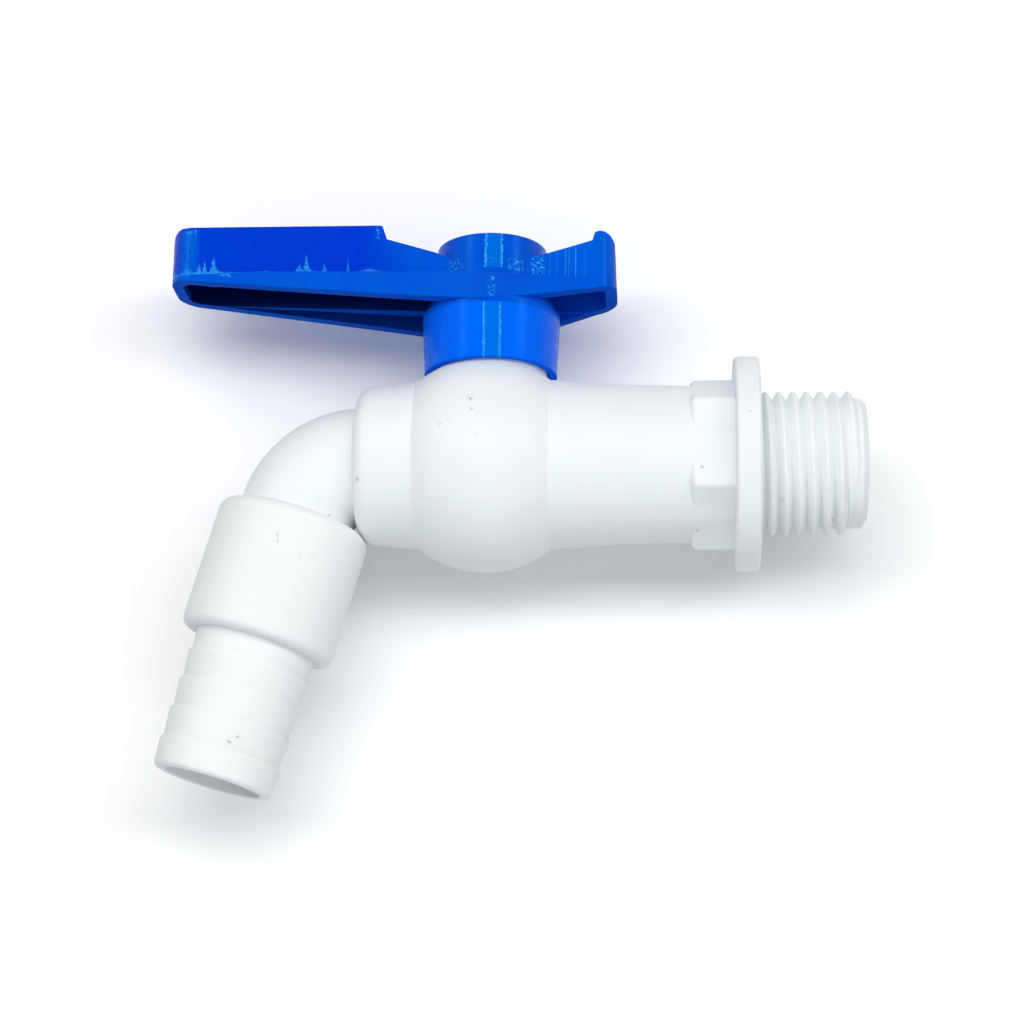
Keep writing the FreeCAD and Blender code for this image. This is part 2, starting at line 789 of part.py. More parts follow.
PIECES = {
    "valve_body": valve_body,
    "rear_seat_ring": lambda: seat_ring(1),
    "front_seat_ring": lambda: seat_ring(-1),
    "rear_cushion_ring": lambda: cushion_ring(1),
    "front_cushion_ring": lambda: cushion_ring(-1),
    "seat_retainer": seat_retainer,
    "spout_elbow": spout_elbow,
    "elbow_seal": elbow_seal,
    "hose_tail": hose_tail,
    "hose_washer": hose_washer,
    "ball": ball,
    "valve_stem": valve_stem,
    "stem_thrust_washer": stem_thrust_washer,
    "stem_seal_lower": lambda: stem_seal(0),
    "stem_seal_upper": lambda: stem_seal(1),
    "handle_lever": handle_lever,
    "screw_washer": screw_washer,
    "handle_screw": handle_screw,
}

for name, make in PIECES.items():
    shape = make()
    shape.exportStep(f"parts/{name}.step")
    box = shape.optimalBoundingBox(False)
    print(f"{name}: {len(shape.Solids)} solid, volume {shape.Volume:.1f}, "
          f"X {box.XMin:.1f}..{box.XMax:.1f}, Y {box.YMin:.1f}..{box.YMax:.1f}, "
          f"Z {box.ZMin:.1f}..{box.ZMax:.1f}, valid {shape.isValid()}")
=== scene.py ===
# %% [markdown]
# # A plastic garden tap, dressed for its photograph
# The tap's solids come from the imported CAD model, already in place. This lesson gives them their
# looks: an inlet with a real screw thread, moulded edges that catch the light, white and blue
# plastics with their small marks, and the studio that the photograph was taken in.

# %% Load the frame
import json
import math

import bmesh
import bpy
from mathutils import Matrix, Vector

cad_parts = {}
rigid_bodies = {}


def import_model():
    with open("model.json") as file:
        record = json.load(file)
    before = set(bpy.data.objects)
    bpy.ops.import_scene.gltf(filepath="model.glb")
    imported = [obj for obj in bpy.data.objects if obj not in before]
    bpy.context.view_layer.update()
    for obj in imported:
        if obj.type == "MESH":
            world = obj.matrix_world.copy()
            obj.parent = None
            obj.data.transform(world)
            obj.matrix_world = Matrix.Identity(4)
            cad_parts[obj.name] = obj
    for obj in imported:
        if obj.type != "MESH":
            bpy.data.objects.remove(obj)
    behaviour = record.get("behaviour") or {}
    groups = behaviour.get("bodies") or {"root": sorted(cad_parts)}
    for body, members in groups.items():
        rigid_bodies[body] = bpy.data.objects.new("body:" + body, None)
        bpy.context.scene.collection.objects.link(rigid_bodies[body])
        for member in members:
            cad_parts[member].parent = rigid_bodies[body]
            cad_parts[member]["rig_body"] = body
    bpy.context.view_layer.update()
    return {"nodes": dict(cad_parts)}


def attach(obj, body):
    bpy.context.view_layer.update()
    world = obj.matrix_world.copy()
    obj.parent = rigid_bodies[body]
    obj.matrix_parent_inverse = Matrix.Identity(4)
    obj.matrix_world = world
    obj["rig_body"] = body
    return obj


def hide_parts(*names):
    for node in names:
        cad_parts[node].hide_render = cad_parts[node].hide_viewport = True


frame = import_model()

# %% [markdown]
# ## Sizes
# Blender works in metres and the tap is drawn in millimetres, so one small number turns the one
# into the other. The origin is the middle of the flange's face, +X runs out along the inlet and
# +Z up along the stem.

# %% Name the sizes that several steps share
mm = 0.001
stem_x = -39.3 * mm
thread_crest = 10.4775 * mm
thread_root = 9.36 * mm
thread_pitch = 1.98 * mm
thread_start = -0.15 * mm
thread_turns = 6.9
thread_end = 12.5 * mm
print("thread", round(thread_turns * thread_pitch / mm, 1), "mm long")

# %% [markdown]
# ## One skin from separate patches
# A CAD node arrives as patches of triangles that share no edge where they meet, so a Bevel
# modifier would find nothing there to round. So a copy is welded into one skin, and its flat
# areas are joined up, which leaves a flat face no edges but its outline. The copy then takes the
# node's place in the picture.

# %% Weld a copy of a node
def welded_skin(node, flat_below):
    """A bmesh with the node's shape: one closed skin, with its flat areas joined."""
    skin = bmesh.new()
    skin.from_mesh(frame["nodes"][node].data)
    bmesh.ops.remove_doubles(skin, verts=skin.verts, dist=0.001 * mm)
    bmesh.ops.dissolve_limit(skin, angle_limit=math.radians(flat_below), verts=skin.verts,
                             edges=skin.edges)
    return skin


# %% Turn a skin into a piece
def finish_piece(skin, name, node, smooth_below):
    """Turns a skin into a piece that rides on a node's body, with its real edges kept sharp."""
    for face in skin.faces:
        face.smooth = True
    for edge in skin.edges:
        edge.smooth = edge.calc_face_angle(0) < math.radians(smooth_below)
    mesh = bpy.data.meshes.new(name)
    skin.to_mesh(mesh)
    skin.free()
    piece = bpy.data.objects.new(name, mesh)
    bpy.context.scene.collection.objects.link(piece)
    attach(piece, frame["nodes"][node]["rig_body"])
    print(name, len(mesh.polygons), "faces")
    return piece


# %% [markdown]
# ## The inlet's screw thread
# On the real tap the thread is moulded with the body, by a mould that opens in two halves. It is
# one ridge that winds round the inlet, and the CAD model has a plain cylinder at its crests.
# Blender's spin makes it in one go: the ridge's section turns about the inlet's axis and moves on
# by one pitch each turn. Both ends sink into the wall over part of a turn, as a moulded ridge's do.

# %% Draw the ridge's section
thread_foot = thread_root - 0.15 * mm


def ridge_section():
    """Points along the inlet and away from its axis, from one foot of the ridge to the other."""
    half = thread_pitch / 2
    side = [(half * 0.98, thread_foot), (half * 0.88, thread_root + 0.03 * mm),
            (half * 0.28, thread_crest - 0.10 * mm), (half * 0.14, thread_crest)]
    return [(-along, radius) for along, radius in side] + side[::-1]


# %% Wind the thread
steps_per_turn = 96
fade_turns = 0.3


def thread_ridge():
    """The helical ridge, closed at both ends, from the inlet's underside at the flange."""
    section = ridge_section()
    steps = round(thread_turns * steps_per_turn)
    skin = bmesh.new()
    ring = [skin.verts.new((thread_start + along, 0, -radius)) for along, radius in section]
    line = [skin.edges.new(pair) for pair in zip(ring, ring[1:])]
    bmesh.ops.spin(skin, geom=ring + line, cent=(0, 0, 0), axis=(1, 0, 0),
                   angle=math.tau * thread_turns, dvec=(thread_pitch / steps_per_turn, 0, 0),
                   steps=steps, use_merge=False, use_duplicate=False)
    sink_ends(skin, len(section), steps)
    bmesh.ops.holes_fill(skin, edges=[edge for edge in skin.edges if edge.is_boundary])
    bmesh.ops.recalc_face_normals(skin, faces=skin.faces)
    return skin


# %% Sink the ridge's ends
def sink_ends(skin, points, steps):
    """Lowers the ridge to its foot over the first and the last part of a turn."""
    skin.verts.ensure_lookup_table()
    fade = steps_per_turn * fade_turns
    for number, vert in enumerate(skin.verts):
        step = number // points
        share = min(1, (step + 1) / fade, (steps - step + 1) / fade)
        radius = math.hypot(vert.co.y, vert.co.z)
        scale = (thread_foot + (radius - thread_foot) * share) / radius
        vert.co.y *= scale
        vert.co.z *= scale


ridge = finish_piece(thread_ridge(), "inlet_thread", "valve_body", 30)

# %% [markdown]
# ## The body moulding
# The body is one white moulding, and it keeps its CAD shape apart from the inlet. There the plain
# cylinder is drawn in to the bottom of the thread. A Boolean cut would do it too, but moving the
# cylinder's points towards the axis leaves the rest of the skin as it was.

# %% Shape the body
hair = 0.01 * mm
crest_band = 0.05 * mm


def body_skin():
    """The valve body with its inlet at the thread's root diameter."""
    skin = welded_skin("valve_body", 0.4)
    for vert in skin.verts:
        radius = math.hypot(vert.co.y, vert.co.z)
        on_thread = -hair < vert.co.x < thread_end + hair
        if on_thread and abs(radius - thread_crest) < crest_band:
            vert.co.y *= thread_root / radius
            vert.co.z *= thread_root / radius
    return skin


body = finish_piece(body_skin(), "body_moulding", "valve_body", 24)
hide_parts("valve_body")

# %% [markdown]
# ## The lever
# The lever is moulded as a thin shell, open below. Moulded plastic has no sharp edges, and a small
# rounding is what catches the light. The bevel takes only the outer edges, because an inner
# corner of the shell has no room for one.

# %% Round the outer edges
def rounded_skin(node, width):
    """The node's skin with its outer edges rounded."""
    skin = welded_skin(node, 0.6)
    real_edge = math.radians(28)
    sharp = [edge for edge in skin.edges if edge.is_convex and edge.calc_face_angle(0) > real_edge]
    bmesh.ops.bevel(skin, geom=sharp, offset=width, offset_type="OFFSET", segments=3,
                    profile=0.5, affect="EDGES", clamp_overlap=True, material=-1)
    return skin


lever = finish_piece(rounded_skin("handle_lever", 0.28 * mm), "lever_moulding", "handle_lever",
                     30)
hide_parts("handle_lever")

# %% [markdown]
# ## The spout and the hose tail
# The elbow and the hose tail are separate mouldings that screw together. Their edges are crisper
# than the lever's, so the rounding is smaller.

# %% Round the elbow and the hose tail
elbow = finish_piece(rounded_skin("spout_elbow", 0.15 * mm), "elbow_moulding", "spout_elbow",
                     30)
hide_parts("spout_elbow")
tail = finish_piece(rounded_skin("hose_tail", 0.15 * mm), "hose_tail_moulding", "hose_tail",
                    30)
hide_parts("hose_tail")

# %% [markdown]
# ## What the finishes are made of
# Every finish starts from the plain shader and the piece's own coordinates, in metres, so a mark
# stays where it is when the lever turns. The helpers below each add one thing: a cloudy pattern,
# a colour that follows a value, a stretched value, fine relief.

# %% Start a finish
def new_finish(name):
    """An empty material: its node tree, its shader and the piece's own coordinates."""
    material = bpy.data.materials.new(name)
    material.use_nodes = True
    tree = material.node_tree
    place = tree.nodes.new("ShaderNodeTexCoord").outputs["Object"]
    return material, tree, tree.nodes["Principled BSDF"], place


# %% Cloudy noise
def noise_at(tree, place, lumps, detail=3.0):
    """Noise with a stated number of lumps per metre."""
    noise = tree.nodes.new("ShaderNodeTexNoise")
    noise.inputs["Scale"].default_value = lumps
    noise.inputs["Detail"].default_value = detail
    tree.links.new(place, noise.inputs["Vector"])
    return noise.outputs["Fac"]


# %% A colour or a grey that follows a value
def ramp(tree, value, stops):
    """Colours at stated places along a value, blended in between."""
    node = tree.nodes.new("ShaderNodeValToRGB")
    band = node.color_ramp.elements
    for position, colour in stops[1:-1]:
        band.new(position)
    for element, (position, colour) in zip(band, stops):
        element.position = position
        element.color = (*colour, 1)
    tree.links.new(value, node.inputs["Fac"])
    return node.outputs["Color"]


# %% A value stretched to a range
def spread(tree, value, low, high, start=0.3, stop=0.7):
    """Maps start..stop to low..high and holds it there beyond."""
    node = tree.nodes.new("ShaderNodeMapRange")
    node.inputs["From Min"].default_value = start
    node.inputs["From Max"].default_value = stop
    node.inputs["To Min"].default_value = low
    node.inputs["To Max"].default_value = high
    tree.links.new(value, node.inputs["Value"])
    return node.outputs["Result"]


# %% One sum between two values
def maths(tree, operation, first, second):
    """A sum such as ADD or MULTIPLY, where the second may be a plain number."""
    node = tree.nodes.new("ShaderNodeMath")
    node.operation = operation
    tree.links.new(first, node.inputs[0])
    if isinstance(second, (int, float)):
        node.inputs[1].default_value = second
    else:
        tree.links.new(second, node.inputs[1])
    return node.outputs[0]


# %% Where two masks overlap
def both(tree, first, second):
    """1 where both masks are 1."""
    return maths(tree, "MULTIPLY", first, second)


# %% Which way the surface faces
def facing_parts(tree):
    """The X, Y and Z of the direction that the piece's own surface faces."""
    split = tree.nodes.new("ShaderNodeSeparateXYZ")
    tree.links.new(tree.nodes.new("ShaderNodeTexCoord").outputs["Normal"], split.inputs[0])
    return split.outputs


# %% A mark on a colour
def marked(tree, colour, mark, mask):
    """The colour with another over it where the mask is 1."""
    node = tree.nodes.new("ShaderNodeMixRGB")
    node.inputs["Color2"].default_value = (*mark, 1)
    tree.links.new(colour, node.inputs["Color1"])
    tree.links.new(mask, node.inputs["Fac"])
    return node.outputs["Color"]


# %% Fine relief
def bump(tree, shader, height, distance, strength):
    """Relief of a stated depth in metres on a shader."""
    node = tree.nodes.new("ShaderNodeBump")
    node.inputs["Distance"].default_value = distance
    node.inputs["Strength"].default_value = strength
    tree.links.new(height, node.inputs["Height"])
    tree.links.new(node.outputs["Normal"], shader.inputs["Normal"])


# %% [markdown]
# ## White plastic
# The body, the elbow and the hose tail are white moulded plastic with a faint cool tint. It is
# slightly cloudy, a little dull, and lets some light in under its skin. It has small dark specks
# where dirt went into the mould. A noise scatters a few of them, and the ones that stand out in
# the photograph are placed one by one, each as a place along the tap, a height and a size in mm.
# They are placed as seen from the side, so each one also shows on the far side.

# %% Place the specks that stand out
dirt_spots = [(-57.5, -5.05, 0.5), (-41.2, 5.6, 0.7), (-40.8, 6.8, 0.5), (-41.0, 3.9, 0.5),
              (-39.9, -0.4, 0.4), (-45.4, 1.6, 0.4), (-1.7, 3.0, 0.35), (3.0, -7.4, 0.35),
              (10.3, -9.3, 0.35), (-68.3, -13.4, 0.5), (-68.4, -14.3, 0.4), (-74.6, -42.5, 0.6),
              (-61.9, -9.3, 0.4), (-73.4, -41.9, 0.35)]


def dirt_spot(tree, place, where, height, size):
    """A small round mask at a place in mm as seen from the side, soft at its rim."""
    flat = tree.nodes.new("ShaderNodeVectorMath")
    flat.operation = "MULTIPLY"
    tree.links.new(place, flat.inputs[0])
    flat.inputs[1].default_value = (1, 0, 1)
    away = tree.nodes.new("ShaderNodeVectorMath")
    away.operation = "DISTANCE"
    tree.links.new(flat.outputs[0], away.inputs[0])
    away.inputs[1].default_value = (where * mm, 0, height * mm)
    return spread(tree, away.outputs["Value"], 1, 0, 0.3 * size * mm, size * mm)


# %% White moulded plastic
speck_level = 0.80
speck_colour = (0.35, 0.33, 0.28)
spot_colour = (0.40, 0.40, 0.37)


def white_moulding(name, base, dull):
    """White plastic with a cloudy shade, specks and faint moulding marks."""
    material, tree, shader, place = new_finish(name)
    shade = tuple(value * dull for value in base)
    colour = ramp(tree, noise_at(tree, place, 90, 4), [(0.35, shade), (0.65, base)])
    dirt = spread(tree, noise_at(tree, place, 420, 1), 0, 0.55, speck_level, speck_level + 0.03)
    colour = marked(tree, colour, speck_colour, dirt)
    grains = spread(tree, noise_at(tree, place, 3200, 1), 0, 0.75, 0.50, 0.58)
    for where, height, size in dirt_spots:
        spot = dirt_spot(tree, place, where, height, size)
        colour = marked(tree, colour, spot_colour, both(tree, spot, grains))
    tree.links.new(colour, shader.inputs["Base Color"])
    tree.links.new(spread(tree, noise_at(tree, place, 400, 4), 0.45, 0.58),
                   shader.inputs["Roughness"])
    shader.inputs["Specular IOR Level"].default_value = 0.3
    shader.inputs["Subsurface Weight"].default_value = 0.3
    shader.inputs["Subsurface Radius"].default_value = (1, 1, 1)
    shader.inputs["Subsurface Scale"].default_value = 0.8 * mm
    bump(tree, shader, noise_at(tree, place, 1500, 2), 0.04 * mm, 0.25)
    return material


cool_white = (0.875, 0.915, 0.915)
white_body = white_moulding("white_body_plastic", cool_white, 0.985)
white_elbow = white_moulding("white_elbow_plastic", cool_white, 0.985)
white_tail = white_moulding("white_tail_plastic", (0.88, 0.905, 0.90), 0.985)
seat_plastic = white_moulding("white_seat_plastic", (0.84, 0.84, 0.82), 0.97)
stem_plastic = white_moulding("white_stem_plastic", (0.78, 0.79, 0.78), 0.97)
ball_plastic = white_moulding("white_ball_plastic", (0.80, 0.82, 0.83), 0.98)

# %% [markdown]
# ## Blue plastic
# The lever is a deep glossy blue. Where it was handled and trimmed, the surface is scraped to a
# light blue: a row of short spikes above the crease of the arm, scratches on the tail and rough
# patches beside the boss. Some of the patches, a pale band at the arm's end, and two upright lines
# on boss and skirt with a paler band between them are painted highlights and painted reflections
# in the same light blue. The blue is also painted lighter below the crease and brightest on the
# skirt, as painted light and a painted sheen, and near black inside the arm as painted shade.
# Painting an image would be quicker, but a list of places in mm stays sharp at any distance.

# %% Where along the lever the marks are
# Light blue for scrapes and wear, used also for painted highlights and painted reflections.
light_blue = (0.04, 0.42, 0.84)
crease_z = 28.3 * mm
tallest_spike = 3.3
full_scratch = 1.4
# Places along the lever in mm of two upright lines on boss and skirt, a painted reflection of a
# lamp.
painted_reflection_lines = (-39.70, -37.45)
spikes = [(-86.4, 0.7), (-85.6, 0.3), (-84.9, 0.8), (-84.0, 1.0), (-83.2, 0.3), (-82.9, 0.6),
          (-82.5, 1.8), (-82.1, 0.3), (-81.7, 2.2), (-81.3, 0.3), (-80.9, 0.6), (-80.4, 2.8),
          (-79.9, 0.9), (-79.4, 0.5), (-78.6, 0.2), (-74.0, 0.0), (-72.4, 0.6), (-71.6, 0.0),
          (-68.2, 0.3), (-67.5, 1.5), (-67.0, 0.5), (-66.6, 3.3), (-66.1, 1.0), (-65.3, 0.3),
          (-64.2, 0.2), (-63.8, 1.8), (-63.3, 0.1), (-60.5, 0.1), (-60.3, 2.8), (-60.1, 0.1),
          (-57.0, 0.7), (-53.0, 0.0)]
scratches = [(-30.4, 0.35), (-29.4, 0.3), (-28.1, 0.7), (-27.6, 0.4), (-26.6, 1.0), (-25.2, 0.3)]

# Each patch is a place along the lever, a height, and half its width and half its height. Some are
# scrapes and some are painted highlights, such as the one on the roof's end at -55.9.
scrapes_and_painted_highlights = [(-84.0, 34.9, 0.5, 0.2), (-44.4, 29.2, 0.8, 0.3),
                 (-44.4, 28.25, 1.0, 0.1), (-39.0, 29.0, 0.5, 0.1), (-35.4, 28.6, 0.9, 0.6),
                 (-32.2, 29.0, 0.8, 1.3), (-55.9, 34.5, 0.15, 0.9), (-78.5, 27.7, 0.6, 0.1),
                 (-38.7, 24.4, 0.25, 1.6)]


# %% Tell how far along a list of places a point is
def profile_along(tree, distance, points, full):
    """A value that follows a list of places in mm and heights, and is 1 at the full height."""
    first, last = points[0][0], points[-1][0]
    share = spread(tree, distance, 0, 1, first * mm, last * mm)
    stops = [((where - first) / (last - first), (math.sqrt(height / full),) * 3)
             for where, height in points]
    return maths(tree, "POWER", ramp(tree, share, stops), 2)


# %% Place a mask in a box
def between(tree, value, low, high, soft=0.15):
    """1 where a distance lies between two places in mm, fading over a soft border."""
    above = spread(tree, value, 0, 1, (low - soft) * mm, low * mm)
    below = spread(tree, value, 1, 0, high * mm, (high + soft) * mm)
    return both(tree, above, below)


# %% Find the inside of the arm
def hollow_of_arm(tree, along, depth, height):
    """1 on the arm's inner walls, which face its middle, and under its roof."""
    inward = both(tree, facing_parts(tree)["Y"], depth)
    walls = both(tree, spread(tree, inward, 1, 0, -1.5 * mm, -0.5 * mm),
                 spread(tree, height, 0.55, 1, 23 * mm, 28 * mm))
    walls = both(tree, walls, between(tree, along, -90, -49, 3))
    roof = both(tree, between(tree, depth, -4.2, 4.2), between(tree, height, 28.6, 34))
    roof = both(tree, roof, between(tree, along, -86, -55.5))
    return maths(tree, "MAXIMUM", walls, roof)


# %% Measure where a point of the lever is
def lever_places(tree, place):
    """A point's distances from the origin, fine noise, and a mask of the side that is seen."""
    split = tree.nodes.new("ShaderNodeSeparateXYZ")
    tree.links.new(place, split.inputs[0])
    along, depth, height = split.outputs
    fine = noise_at(tree, place, 2600, 3)
    ragged = maths(tree, "ADD", along, spread(tree, fine, -0.14 * mm, 0.14 * mm))
    near = between(tree, depth, -20, -1)
    return along, depth, height, fine, ragged, near


# %% The blue of each part of the lever, with painted light below the crease and on the skirt
def lever_blue_with_painted_light(tree, place, along, height):
    """Deep on the arm, lighter on the tail, painted light below the crease, a painted sheen on the
    skirt.
    """
    colour = ramp(tree, spread(tree, along, 0, 1, -87 * mm, -20 * mm),
                  [(0.0, (0.0, 0.042, 0.62)), (0.42, (0.0, 0.034, 0.64)),
                   (0.55, (0.0, 0.095, 0.66)), (1.0, (0.0, 0.110, 0.68))])
    # Painted light: below the crease the blue is lighter, where the flare faces the light.
    colour = marked(tree, colour, (0.0, 0.105, 0.68), between(tree, height, 0, 28.1))
    clouds = spread(tree, noise_at(tree, place, 120, 4), 0, 0.35)
    colour = marked(tree, colour, (0.0, 0.035, 0.55), clouds)
    # Painted reflection: the skirt is coloured brightest, in place of the sheen that it catches.
    skirt = both(tree, between(tree, height, 0, 21.8), between(tree, along, -52, -26))
    return marked(tree, colour, (0.0, 0.130, 0.90), skirt)


# %% Whiten the spikes above the crease
def with_spikes(tree, colour, height, fine, ragged, near):
    """The colour with the row of spikes over it."""
    rise = maths(tree, "SUBTRACT", height, crease_z)
    profile = profile_along(tree, ragged, spikes, tallest_spike)
    reach = maths(tree, "MULTIPLY", profile, tallest_spike * mm)
    inside = spread(tree, maths(tree, "SUBTRACT", reach, rise), 0, 0.75, 0.05 * mm, 0.5 * mm)
    grain = both(tree, spread(tree, fine, 0.35, 1.0, 0.35, 0.65), between(tree, rise, -0.1, 4))
    return marked(tree, colour, light_blue, both(tree, both(tree, inside, near), grain))


# %% Scratch the tail
def with_scratches(tree, colour, along, height, near):
    """The colour with upright scratches over it, each a narrow peak along the lever."""
    lines = [point for where, strength in scratches
             for point in ((where - 0.16, 0), (where, strength), (where + 0.16, 0))]
    streaks = both(tree, profile_along(tree, along, lines, full_scratch),
                   between(tree, height, 27.4, 31.4, 0.6))
    return marked(tree, colour, light_blue, both(tree, streaks, near))


# %% Draw the two painted reflection lines and the band between them
def with_painted_reflection_lines(tree, colour, along, depth, height, fine, ragged, near):
    """The colour with two painted reflection lines on boss and skirt, and a paler painted band
    between them.
    """
    off_rim = maths(tree, "ADD", between(tree, height, 28, 40), between(tree, height, 0, 21.6))
    outer = spread(tree, maths(tree, "ABSOLUTE", depth, 0), 0, 0.9, 7 * mm, 7.2 * mm)
    for line in painted_reflection_lines:
        reflection_line = both(tree, between(tree, ragged, line - 0.12, line + 0.12, 0.08), outer)
        colour = marked(tree, colour, light_blue, both(tree, reflection_line, off_rim))
    # Painted reflection: the paler band between the two lines.
    band = both(tree, between(tree, along, -39.7, -37.4, 0.05), near)
    grain = both(tree, spread(tree, fine, 0.35, 0.85), off_rim)
    return marked(tree, colour, (0.0, 0.17, 0.70), both(tree, band, grain))


# %% Paint a highlight at the arm's end, and the patches of wear and painted highlight
def with_wear_and_painted_highlights(tree, colour, along, height, fine, near):
    """The colour with a painted highlight on the arm's rounded end and speckled patches, partly
    wear and partly painted highlights.
    """
    end = both(tree, between(tree, along, -84.9, -83.6, 1.2), near)
    # Painted highlight: a pale band on the rounded end of the arm, where light catches the corner.
    corner_highlight = both(tree, spread(tree, fine, 0.2, 0.8), between(tree, height, 28.4, 35.2))
    colour = marked(tree, colour, (0.0, 0.16, 0.66), both(tree, end, corner_highlight))
    speckle = spread(tree, fine, 0, 0.8, 0.5, 0.62)
    # The patches are partly scrapes and partly painted highlights.
    for where, rise, wide, tall in scrapes_and_painted_highlights:
        spot = both(tree, between(tree, along, where - wide, where + wide, 0.4),
                    between(tree, height, rise - tall, rise + tall, 0.4))
        colour = marked(tree, colour, light_blue, both(tree, both(tree, spot, near), speckle))
    return colour


# %% Blue moulded plastic
def blue_moulding():
    """Deep blue glossy plastic with the lever's marks and painted shade inside the arm; matt where
    it was trimmed and inside.
    """
    material, tree, shader, place = new_finish("blue_lever_plastic")
    along, depth, height, fine, ragged, near = lever_places(tree, place)
    painted_shade_and_matt_hollow = hollow_of_arm(tree, along, depth, height)
    colour = lever_blue_with_painted_light(tree, place, along, height)
    # Painted shade: inside the arm the blue is coloured near black, in place of the shade that
    # falls there.
    colour = marked(tree, colour, (0.0, 0.004, 0.07), painted_shade_and_matt_hollow)
    colour = with_spikes(tree, colour, height, fine, ragged, near)
    colour = with_scratches(tree, colour, along, height, near)
    colour = with_painted_reflection_lines(tree, colour, along, depth, height, fine, ragged, near)
    colour = with_wear_and_painted_highlights(tree, colour, along, height, fine, near)
    tree.links.new(colour, shader.inputs["Base Color"])

    shader.inputs["Specular Tint"].default_value = (0.0, 0.4, 1, 1)
    shader.inputs["Specular IOR Level"].default_value = 0.15
    looks_down = spread(tree, facing_parts(tree)["Z"], 1, 0, -0.7, -0.5)
    matt = maths(tree, "MULTIPLY", maths(tree, "MAXIMUM", looks_down, painted_shade_and_matt_hollow), 0.55)
    gloss = spread(tree, noise_at(tree, place, 500, 4), 0.20, 0.30)
    tree.links.new(maths(tree, "ADD", gloss, matt), shader.inputs["Roughness"])
    bump(tree, shader, noise_at(tree, place, 1300, 2), 0.04 * mm, 0.25)
    return material


blue_lever = blue_moulding()
print("blue nodes", len(blue_lever.node_tree.nodes))

# %% [markdown]
# ## Rubber and steel
# The rings and washers are matt black rubber. The handle's screw and its washer are plated steel,
# polished unevenly by the tumbling that such small parts get.

# %% Black rubber
def black_rubber():
    """Matt black rubber."""
    material, tree, shader, place = new_finish("black_ring_rubber")
    colour = ramp(tree, noise_at(tree, place, 600, 4),
                  [(0.3, (0.012, 0.012, 0.013)), (0.7, (0.030, 0.030, 0.032))])
    tree.links.new(colour, shader.inputs["Base Color"])
    tree.links.new(spread(tree, noise_at(tree, place, 900), 0.55, 0.75),
                   shader.inputs["Roughness"])
    bump(tree, shader, noise_at(tree, place, 2500, 2), 0.03 * mm, 0.4)
    return material


# %% Plated steel
def bright_steel():
    """Plated steel."""
    material, tree, shader, place = new_finish("plated_screw_steel")
    shader.inputs["Metallic"].default_value = 1
    colour = ramp(tree, noise_at(tree, place, 700, 4),
                  [(0.3, (0.55, 0.56, 0.58)), (0.7, (0.70, 0.71, 0.73))])
    tree.links.new(colour, shader.inputs["Base Color"])
    tree.links.new(spread(tree, noise_at(tree, place, 1500, 4), 0.22, 0.40),
                   shader.inputs["Roughness"])
    return material


ring_rubber = black_rubber()
screw_steel = bright_steel()

# %% [markdown]
# ## Every piece gets its finish
# Pieces of one material are listed together, by the name of their node or as the piece itself.

# %% Hand out the finishes
finishes = [
    (white_body, [ridge, body]),
    (blue_lever, [lever]),
    (white_elbow, [elbow, "seat_retainer"]),
    (white_tail, [tail]),
    (ring_rubber, ["rear_cushion_ring", "front_cushion_ring", "elbow_seal", "hose_washer",
                   "stem_seal_lower", "stem_seal_upper"]),
    (screw_steel, ["screw_washer", "handle_screw"]),
    (seat_plastic, ["rear_seat_ring", "front_seat_ring", "stem_thrust_washer"]),
    (stem_plastic, ["valve_stem"]),
    (ball_plastic, ["ball"])]
for material, pieces in finishes:
    for piece in pieces:
        target = frame["nodes"][piece] if isinstance(piece, str) else piece
        target.data.materials.clear()
        target.data.materials.append(material)
    print(material.name, "on", len(pieces))

# %% [markdown]
# ## The camera
# The photograph looks up at the tap from a little below and slightly from the right. The lens
# follows from how fast the inlet's round rims flatten towards the picture's edge. A Track To
# constraint would aim a camera too, but three directions also hold the photograph's small roll.

# %% Turn the camera
azimuth = math.radians(3.5)
elevation = math.radians(-15.9)
roll = math.radians(0.7)
back = Vector((math.sin(azimuth) * math.cos(elevation), -math.cos(azimuth) * math.cos(elevation),
               math.sin(elevation)))
level = Vector((math.cos(azimuth), math.sin(azimuth), 0))
right = math.cos(roll) * level + math.sin(roll) * back.cross(level)
up = back.cross(right)
print("camera looks along", [round(-value, 3) for value in back])

# %% Set up the camera
picture_width = 1024
focal_pixels = 2500
camera_place = (-14.522, -349.522, -106.850)
camera = bpy.data.objects.new("camera", bpy.data.cameras.new("camera"))
camera.data.sensor_width = 36
camera.data.lens = camera.data.sensor_width * focal_pixels / picture_width
camera.data.clip_start = 0.01
standpoint = Matrix.Translation([value * mm for value in camera_place])
camera.matrix_world = standpoint @ Matrix((right, up, back)).transposed().to_4x4()
bpy.context.scene.collection.objects.link(camera)
bpy.context.scene.camera = camera
bpy.context.scene.view_settings.view_transform = "Standard"
print("lens", round(camera.data.lens, 1), "mm")

# %% [markdown]
# ## The lamps
# A wide, low lamp in front, a little above the tap, does most of the work and draws the shadows
# on the backdrop. A smaller one higher up lights the tops, a very weak one close below lights
# the undersides, and one behind serves the views from there. Two tall strips are only seen in
# reflections: they draw the broad upright gleams on the boss and the skirt. A sun or a point lamp
# would give hard shadows, so all of them are area lamps.

# %% Hang a lamp
def softbox(name, place, target, size, watts):
    """A lamp with a rectangular front that points from a place at a target."""
    light = bpy.data.lights.new(name, "AREA")
    light.shape = "RECTANGLE"
    light.size, light.size_y = size
    light.energy = watts
    lamp = bpy.data.objects.new(name, light)
    lamp.location = place
    away = Vector(place) - Vector(target)
    lamp.rotation_euler = away.to_track_quat("Z", "Y").to_euler()
    bpy.context.scene.collection.objects.link(lamp)
    return lamp


